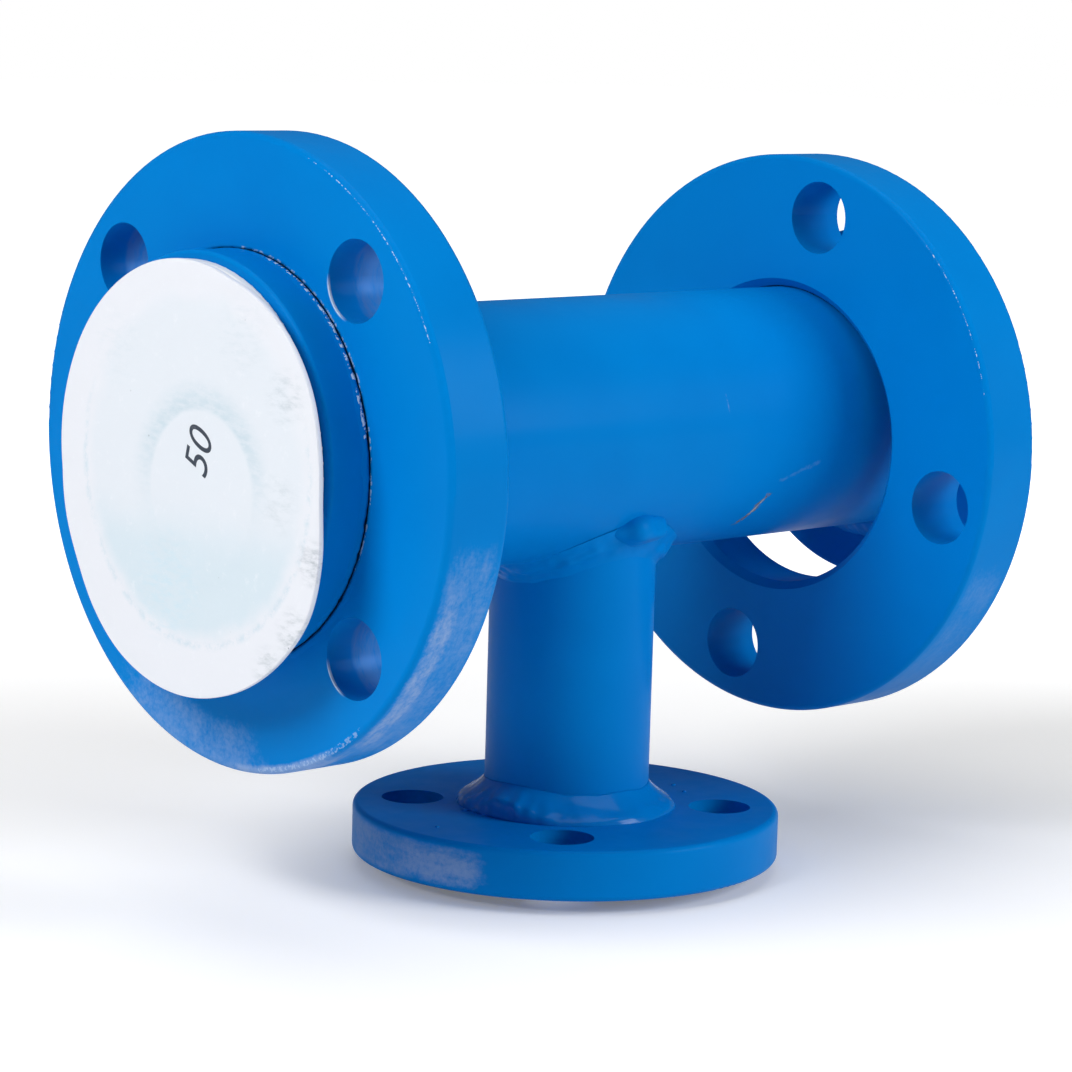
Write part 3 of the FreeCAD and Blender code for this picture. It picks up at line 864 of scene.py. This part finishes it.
class OBJECT_OT_foot_bead(bpy.types.Operator):
    """Lay the bead round the foot of the branch pipe, with its spatter"""

    bl_idname = "tee.foot_bead"
    bl_label = "Foot bead"

    def execute(self, context):
        enamel = sprayed_enamel("sprayed_enamel_foot_bead", axis="Z", gloss=1.0)
        bead = closed_ring("foot_bead", 540, 32, foot_point)
        place_piece(bead, FITTING, enamel, "branch_flange_weld")
        # Drops round the foot: place over the flange's top, half width and half height.
        spots = (
            ((-25.9, 5.2, 0.2), 1.7, 1.2),
            ((-26.6, 1.2, 0.0), 1.3, 1.0),
            ((-25.4, -2.2, 0.1), 1.0, 0.8),
            ((-25.0, -6.4, 0.2), 1.6, 1.1),
            ((-23.6, -9.2, 0.1), 0.9, 0.7),
            ((-24.0, 9.8, 1.2), 1.5, 1.1),
            ((-22.6, 4.0, 3.2), 1.5, 1.2),
            ((-23.2, 0.0, 2.4), 1.2, 1.0),
            ((-27.9, 8.0, 0.0), 0.9, 0.6),
            ((-45.6, -1.2, 0.0), 0.55, 0.35),
            ((36.5, -3.0, 0.0), 0.6, 0.4),
            ((33.0, -10.5, 0.0), 0.6, 0.4),
            ((5.5, -25.4, 0.0), 0.6, 0.4),
        )
        foot = Vector((0, 0, FOOT_TOP))
        blobs = []
        for spot, width, height in spots:
            halves = (width * MM, width * MM, height * MM)
            blobs.append((foot + Vector(spot) * MM, halves))
        place_piece(lumps("foot_spatter", blobs), FITTING, enamel)
        return {"FINISHED"}


class OBJECT_OT_collar_beads(bpy.types.Operator):
    """Lay the beads behind the two collars"""

    bl_idname = "tee.collar_beads"
    bl_label = "Collar beads"

    def execute(self, context):
        enamel = sprayed_enamel("sprayed_enamel_collar_beads")
        for side, inward in (("front", 1), ("rear", -1)):
            face = -inward * abs(COLLAR_BACK)
            bead = closed_ring(
                side + "_collar_bead",
                360,
                24,
                lambda turn, share: collar_point(turn, share, face, inward),
            )
            place_piece(bead, FITTING, enamel, side + "_collar_weld")
        return {"FINISHED"}


class OBJECT_OT_torn_paint(bpy.types.Operator):
    """Tear the enamel along the joint between front collar and front flange"""

    bl_idname = "tee.torn_paint"
    bl_label = "Torn paint"

    def execute(self, context):
        edge_chips = (
            ((8, 84), (47, 49), (-111.8, -110.3), 8, 1.0),
            ((-5, 120), (48, 48.9), (-110.6, -109), 8, 0.5),
        )
        enamel = sprayed_enamel("sprayed_enamel_torn", chips=edge_chips)
        on_collar = closed_ring("torn_paint_on_collar", 1300, 8, torn_on_collar)
        place_piece(on_collar, FITTING, enamel)
        on_flange = closed_ring("torn_paint_on_flange", 1300, 8, torn_on_flange)
        place_piece(on_flange, FRONT_FLANGE, enamel)
        return {"FINISHED"}


class OBJECT_OT_flange_cover(bpy.types.Operator):
    """Cut the plastic cover, press the liner's marks into it and print its size"""

    bl_idname = "tee.flange_cover"
    bl_label = "Flange cover"

    def execute(self, context):
        settings = context.scene.tee.cover
        # The sheet is a disc of rings, close enough together to take the pressed marks.
        rings = 50
        nothing_selected()
        bpy.ops.mesh.primitive_circle_add(vertices=240, radius=1.0, fill_type="NOTHING")
        disc = bpy.context.object
        disc.name = "cover_sheet"
        bpy.ops.object.mode_set(mode="EDIT")
        bpy.ops.mesh.select_all(action="SELECT")
        for ring in range(rings - 1, 0, -1):
            bpy.ops.mesh.extrude_edges_move()
            shrink = ring / (ring + 1)
            bpy.ops.transform.resize(value=(shrink, shrink, 1))
        bpy.ops.mesh.edge_face_add()
        bpy.ops.mesh.poke()
        bpy.ops.object.mode_set(mode="OBJECT")
        for vertex in disc.data.vertices:
            turn = math.atan2(vertex.co.y, vertex.co.x)
            radius = math.hypot(vertex.co.x, vertex.co.y) * cover_edge(turn)
            across = COVER_CENTRE[0] * MM + radius * math.cos(turn)
            upward = COVER_CENTRE[1] * MM + radius * math.sin(turn)
            vertex.co = Vector((0, across, upward))
            vertex.co.x = COVER_BACK - settings.thickness + imprint(vertex.co)
        bpy.ops.object.mode_set(mode="EDIT")
        bpy.ops.mesh.select_all(action="SELECT")
        bpy.ops.mesh.normals_make_consistent(inside=False)
        bpy.ops.object.mode_set(mode="OBJECT")
        facing = sum(face.normal.x * face.area for face in disc.data.polygons)
        solid = disc.modifiers.new("sheet", "SOLIDIFY")
        solid.thickness = settings.thickness - 0.1 * MM
        solid.offset = -1.0 if facing < 0 else 1.0
        rounded = disc.modifiers.new("cut_edge", "BEVEL")
        rounded.width = 0.25 * MM
        rounded.segments = 2
        rounded.limit_method = "ANGLE"
        pick(disc)
        bpy.ops.object.modifier_apply(modifier=solid.name)
        bpy.ops.object.modifier_apply(modifier=rounded.name)
        bpy.ops.object.mode_set(mode="EDIT")
        bpy.ops.mesh.select_all(action="SELECT")
        bpy.ops.mesh.normals_make_consistent(inside=False)
        bpy.ops.object.mode_set(mode="OBJECT")
        bpy.ops.object.shade_smooth_by_angle(angle=math.radians(35))
        place_piece(disc, FITTING, pressed_polyethylene(), "front_cover")

        nothing_selected()
        bpy.ops.object.text_add()
        figures = bpy.context.object
        figures.name = "cover_number"
        figures.data.body = settings.number
        figures.data.size = settings.number_height
        figures.data.shear = 0.24
        figures.data.offset = -0.002 * settings.number_height
        figures.data.extrude = 0.002 * settings.number_height
        bpy.ops.object.convert(target="MESH")
        places_across = [vertex.co.x for vertex in figures.data.vertices]
        places_up = [vertex.co.y for vertex in figures.data.vertices]
        widen = settings.number_width / (max(places_across) - min(places_across))
        heighten = settings.number_height / (max(places_up) - min(places_up))
        lean = math.radians(NUMBER_LEAN)
        reading = Vector((0, -math.sin(lean), math.cos(lean)))
        upward = Vector((0, math.cos(lean), math.sin(lean)))
        face = COVER_BACK - settings.thickness + 0.01 * MM
        corner = reading * NUMBER_START[0] * MM + upward * NUMBER_START[1] * MM
        for vertex in figures.data.vertices:
            across = (vertex.co.x - min(places_across)) * widen
            rise = (vertex.co.y - min(places_up)) * heighten
            spot = corner + reading * across + upward * rise
            vertex.co = Vector((face - vertex.co.z, spot.y, spot.z))
        place_piece(figures, FITTING, stamped_ink())
        return {"FINISHED"}


class OBJECT_OT_enamel(bpy.types.Operator):
    """Spray the steel pieces and finish the liner"""

    bl_idname = "tee.enamel"
    bl_label = "Enamel and liner"

    def execute(self, context):
        face = FLANGE_FACE / MM
        rear = REAR_FACE / MM
        rim = FLANGE_RADIUS / MM
        foot = FOOT_RADIUS / MM
        top = FOOT_TOP / MM
        run = RUN_RADIUS / MM
        collar = COLLAR_RADIUS / MM
        # Angles are in degrees, from the top round the run and from +X round the branch, and radii
        # and lengths are in millimetres. A scuff or rough patch gives its angles, radii, lengths,
        # softness at the ends and at the sides, and strength; a chip has one softness.
        finishes = {
            "front_flange": sprayed_enamel(
                "sprayed_enamel_front_flange",
                scuffs_and_sheen=(
                    ((107, 152), (rim - 1.2, rim + 1), (face + 0.5, face + 9), 9, 3.0, 1.0),
                    ((97, 158), (rim - 1.2, rim + 1), (face + 0.5, face + 18), 10, 3.0, 0.5),
                    # Painted sheen: a soft pale patch on the lower left of the face, partly real overspray
                    # dust.
                    ((166, 222), (rim - 14, rim + 4), (face - 2, face + 2), 14, 6.0, 0.62),
                    ((148, 182), (rim - 2.5, rim + 1), (face - 1, face + 6), 10, 1.2, 0.7),
                ),
                chips=(
                    ((14, 68), (rim - 1.15, rim - 0.65), (face - 1, face + 0.5), 6, 0.8),
                    ((138, 176), (rim - 2.0, rim - 0.4), (face - 1, face + 1), 6, 0.3),
                ),
                # Painted shade in the narrow joint round the collar.
                painted_shade=(((-20, 178), (collar - 1, collar + 0.45), (face - 1, face + 1), 10),),
                # Painted highlights on the edges of two bolt holes.
                highlight_arcs=(
                    ((face, -41.6, 43.7), BOLT_HOLE, (-62, -4), 0.9),
                    ((face, -43.7, -41.6), BOLT_HOLE, (-62, -18), 0.9),
                ),
                drilled=(BOLT_CIRCLE, BOLT_HOLE, HOLE_TURN, (face + 9, face + 20)),
            ),
            "rear_flange": sprayed_enamel(
                "sprayed_enamel_rear_flange",
                centre=(0, 0, REAR_DROP),
                scuffs_and_sheen=(((108, 154), (rim - 0.8, rim + 1), (rear + 1, rear + 17), 9, 3.0, 0.3),),
                chips=(((38, 80), (rim - 1.15, rim - 0.65), (rear - 1, rear + 0.5), 8, 0.9),),
            ),
            "branch_flange": sprayed_enamel(
                "sprayed_enamel_branch_flange",
                axis="Z",
                scuffs_and_sheen=(
                    ((146, 206), (foot - 0.8, foot + 1), (top - 12, top - 1), 9, 1.6, 0.6),
                    ((176, 208), (foot - 0.8, foot + 1), (top - 11, top - 3), 9, 1.6, 0.5),
                ),
                rough=(
                    ((-118, -52), (33, 53), (top - 1, top + 1), 12, 4.0, 1.5),
                ),
            ),
            "run_pipe": sprayed_enamel(
                "sprayed_enamel_run_pipe",
                scratches=(
                    ((42, -28.2, -17.2), (37.8, -20.8, -25.6), (0, -0.757, -0.654), 1.3, 1.0, "rust"),
                    ((41.6, -27.4, -18.4), (39.4, -23.6, -22.8), (0, -0.757, -0.654), 0.5, 0.5, "chip_and_highlight"),
                    ((44.3, -30.1, -13.5), (57.8, -31.6, -9.5), (0, -0.94, -0.34), 1.0, 0.14, "scuff_and_sheen"),
                    ((21.5, -32, 10), (21.9, -32.4, 6), (0, -0.97, 0.24), 0.35, 0.3, "scuff_and_sheen"),
                ),
            ),
            "branch_pipe": sprayed_enamel("sprayed_enamel_branch_pipe", axis="Z"),
            "front_collar": sprayed_enamel(
                "sprayed_enamel_front_collar",
                # Painted shade in the narrow joint round the collar.
                painted_shade=(((-20, 178), (run, collar + 1), (face - 1.5, face + 1), 10),),
            ),
            "rear_collar": sprayed_enamel("sprayed_enamel_rear_collar"),
            "liner": moulded_fluoropolymer(),
        }
        for node, material in finishes.items():
            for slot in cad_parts[node].material_slots:
                slot.material = material
        return {"FINISHED"}


def softbox(name, place, size, power):
    """A square area lamp at a place, turned to face the middle of the fitting."""
    nothing_selected()
    bpy.ops.object.light_add(type="AREA", location=place)
    lamp = bpy.context.object
    lamp.name = name
    lamp.data.shape = "SQUARE"
    lamp.data.size = size
    lamp.data.energy = power
    lamp.rotation_euler = (-Vector(place)).to_track_quat("-Z", "Y").to_euler()


class OBJECT_OT_stage(bpy.types.Operator):
    """Set the floor, the lamps and the camera"""

    bl_idname = "tee.stage"
    bl_label = "Stage"

    def execute(self, context):
        stage = context.scene.tee.stage
        nothing_selected()
        bpy.ops.mesh.primitive_plane_add(size=12.0, location=(0, 0, 0))
        floor = bpy.context.object
        floor.name = "floor"
        for vertex in floor.data.vertices:
            vertex.co.z = FLOOR
        floor.data.materials.append(bare_floor())

        softbox("key_softbox", (-1.35, 0.0, 0.95), 0.8, stage.key_power)
        softbox("side_softbox", (0.75, -1.35, 0.6), 0.8, stage.side_power)
        softbox("top_softbox", (0.0, 0.0, 1.5), 1.4, stage.top_power)

        world = context.scene.world or bpy.data.worlds.new("room")
        context.scene.world = world
        world.use_nodes = True
        tree = world.node_tree
        tree.nodes.clear()
        seen = add(tree, "LightPath").outputs["Is Camera Ray"]
        fill = add(tree, "Background", {"Color": (1, 1, 1, 1), "Strength": stage.fill})
        white = add(tree, "Background", {"Color": (1, 1, 1, 1), "Strength": 1.0})
        shown = add(tree, "MixShader", seen, fill, white)
        add(tree, "OutputWorld", {"Surface": shown})

        nothing_selected()
        bpy.ops.object.camera_add(location=CAMERA_PLACE)
        camera = bpy.context.object
        camera.name = "photo_camera"
        heading = Euler((0, 0, math.radians(CAMERA_HEADING))).to_matrix()
        pitch = Euler((math.radians(90 - CAMERA_TILT), 0, 0)).to_matrix()
        roll = Euler((0, 0, math.radians(CAMERA_ROLL))).to_matrix()
        camera.rotation_euler = (heading @ pitch @ roll).to_euler()
        camera.data.lens = CAMERA_LENS
        camera.data.sensor_width = 36.0
        camera.data.shift_x, camera.data.shift_y = CAMERA_SHIFT
        context.scene.camera = camera
        context.scene.view_settings.view_transform = "Standard"
        return {"FINISHED"}


class VIEW3D_PT_tee(bpy.types.Panel):
    """Lists the pieces of the tee"""

    bl_idname = "VIEW3D_PT_tee"
    bl_label = "Lined reducing tee"
    bl_space_type = "VIEW_3D"
    bl_region_type = "UI"
    bl_category = "Tee"

    def draw(self, context):
        for operator in OPERATORS:
            self.layout.operator(operator.bl_idname)
        tee = context.scene.tee
        for group in (tee.paint, tee.weld, tee.cover, tee.stage):
            box = self.layout.box()
            for name in group.__annotations__:
                box.prop(group, name)


OPERATORS = (
    OBJECT_OT_saddle_bead,
    OBJECT_OT_foot_bead,
    OBJECT_OT_collar_beads,
    OBJECT_OT_torn_paint,
    OBJECT_OT_flange_cover,
    OBJECT_OT_enamel,
    OBJECT_OT_stage,
)
CLASSES = (PaintSettings, WeldSettings, CoverSettings, StageSettings, TeeSettings, *OPERATORS, VIEW3D_PT_tee)


def register():
    for item in CLASSES:
        bpy.utils.register_class(item)
    bpy.types.Scene.tee = PointerProperty(type=TeeSettings)


def unregister():
    del bpy.types.Scene.tee
    for item in reversed(CLASSES):
        bpy.utils.unregister_class(item)


def main():
    register()
    bpy.ops.tee.saddle_bead()
    bpy.ops.tee.foot_bead()
    bpy.ops.tee.collar_beads()
    bpy.ops.tee.torn_paint()
    bpy.ops.tee.flange_cover()
    bpy.ops.tee.enamel()
    bpy.ops.tee.stage()


if __name__ == "__main__":
    main()
